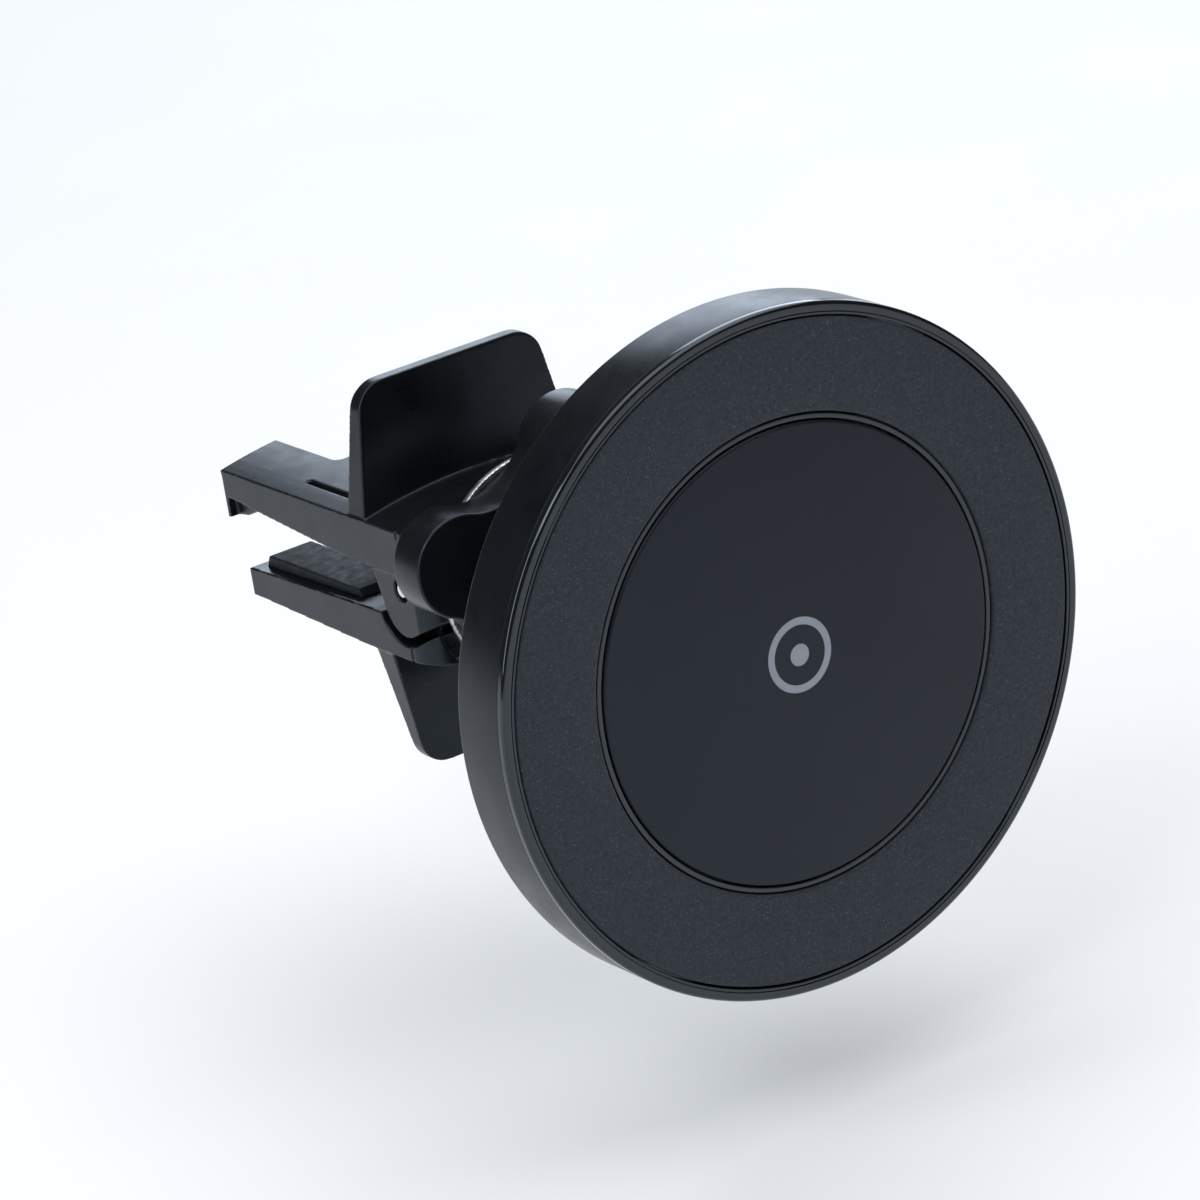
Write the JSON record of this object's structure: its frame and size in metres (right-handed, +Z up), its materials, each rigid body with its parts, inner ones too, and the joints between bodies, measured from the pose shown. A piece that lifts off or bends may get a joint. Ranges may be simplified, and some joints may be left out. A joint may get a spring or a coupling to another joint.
{
  "type": "car phone mount",
  "caption": "Magnetic round phone head on a lockable ball joint, carried by a sprung two-jaw clip that grips a car's air vent blade.",
  "frame": {"origin": "midway between the two jaws, at the point where the vent blade is gripped, level with the hinge pin and the head's axis", "axes": "+Y out of the open end of the jaws into the vent, -Y towards the phone, +Z up, X across the clip"},
  "size_m": [0.062, 0.0751, 0.062],
  "materials": {
    "housing_plastic": "fine satin moulded black",
    "bezel_gloss": "polished black bevel",
    "grip_silicone": "dark grey silicone with a fine bright speckle",
    "adhesive": "matt bonding film",
    "plate_satin": "smooth satin black",
    "trim_satin": "satin black",
    "mark_ink": "grey print",
    "carrier_plastic": "plain moulded",
    "magnet_nickel": "nickel plated",
    "shunt_steel": "zinc plated",
    "screw_steel": "black oxide",
    "insert_brass": "turned",
    "washer_steel": "plain",
    "stud_steel": "ground ball, turned stem",
    "seat_nylon": "natural nylon",
    "nut_plastic": "satin black with smooth lobes",
    "cup_alloy": "die-cast, tumbled silver",
    "jaw_plastic": "fine satin moulded black",
    "pad_rubber": "soft matt black",
    "pin_steel": "bright ground",
    "spring_steel": "drawn wire",
    "sleeve_nylon": "natural nylon"
  },
  "bodies": {
    "clip": {"upper_jaw": "jaw_plastic", "pivot_pin": "pin_steel", "jaw_springs": "spring_steel", "spring_sleeves": "sleeve_nylon", "socket_cup": "cup_alloy"},
    "lever": {"lower_jaw": "jaw_plastic", "lower_jaw_pads": "pad_rubber"},
    "nut": {"locking_nut": "nut_plastic"},
    "ball_seats": {"rear_ball_seat": "seat_nylon", "front_ball_ring": "seat_nylon"},
    "stud": {"ball_stud": "stud_steel", "stud_washer": "washer_steel"},
    "head": {"head_back_cover": "housing_plastic", "bezel_ring": "bezel_gloss", "grip_ring": "grip_silicone", "grip_adhesive": "adhesive", "centre_plate": "plate_satin", "centre_trim_ring": "trim_satin", "centre_mark": "mark_ink", "magnet_carrier": "carrier_plastic", "magnet_segments": "magnet_nickel", "shunt_ring": "shunt_steel", "cover_screws": "screw_steel", "thread_insert": "insert_brass"}
  },
  "joints": [
    {"name": "jaw_open", "type": "hinge", "parent": "clip", "child": "lever", "pos_m": [0, -0.0176, 0], "axis": [-1, 0, 0], "range_deg": [0, 14], "stiffness_Nm_per_rad": 0.25, "springref_deg": -28.65, "deforming": ["jaw_springs"]},
    {"name": "nut_turn", "type": "hinge", "parent": "clip", "child": "nut", "pos_m": [0, -0.0295, 0], "axis": [0, -1, 0], "range_deg": [0, 180]},
    {"name": "head_pan", "type": "hinge", "parent": "clip", "child": "ball_seats", "pos_m": [0, -0.0295, 0], "axis": [0, 0, 1], "range_deg": [-18, 18]},
    {"name": "head_tilt", "type": "hinge", "parent": "ball_seats", "child": "stud", "pos_m": [0, -0.0295, 0], "axis": [1, 0, 0], "range_deg": [-18, 18]},
    {"name": "head_spin", "type": "hinge", "parent": "stud", "child": "head", "pos_m": [0, -0.0295, 0], "axis": [0, -1, 0], "range_deg": [-180, 180]}
  ]
}
